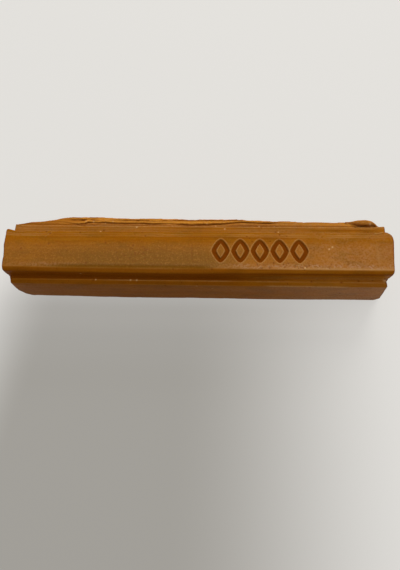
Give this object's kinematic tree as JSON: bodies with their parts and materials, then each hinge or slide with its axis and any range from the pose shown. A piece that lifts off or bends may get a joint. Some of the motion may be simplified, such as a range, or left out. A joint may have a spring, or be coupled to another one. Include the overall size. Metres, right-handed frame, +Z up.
{
  "type": "furniture repair wax stick",
  "caption": "Cast bar of brown filler wax for furniture repair, with a broad flat belly, stepped ledges along both sides, drawn-in ends, a narrow neck and a torn skin on its pour side.",
  "frame": {"origin": "middle of the lower broad face, on the surface that the bar rests on", "axes": "+X along the bar, -Y towards the closed side of the mould, +Y towards the pour side, +Z up through the thickness"},
  "size_m": [0.0815, 0.017, 0.0125],
  "materials": {
    "moulded_wax": "cast wax with a dull, slightly greasy sheen",
    "torn_wax": "torn and scraped wax, rough and dry"
  },
  "bodies": {
    "root": {"stick_body": "moulded_wax", "pour_skin": "torn_wax", "overflow_bead": "torn_wax"}
  },
  "joints": []
}
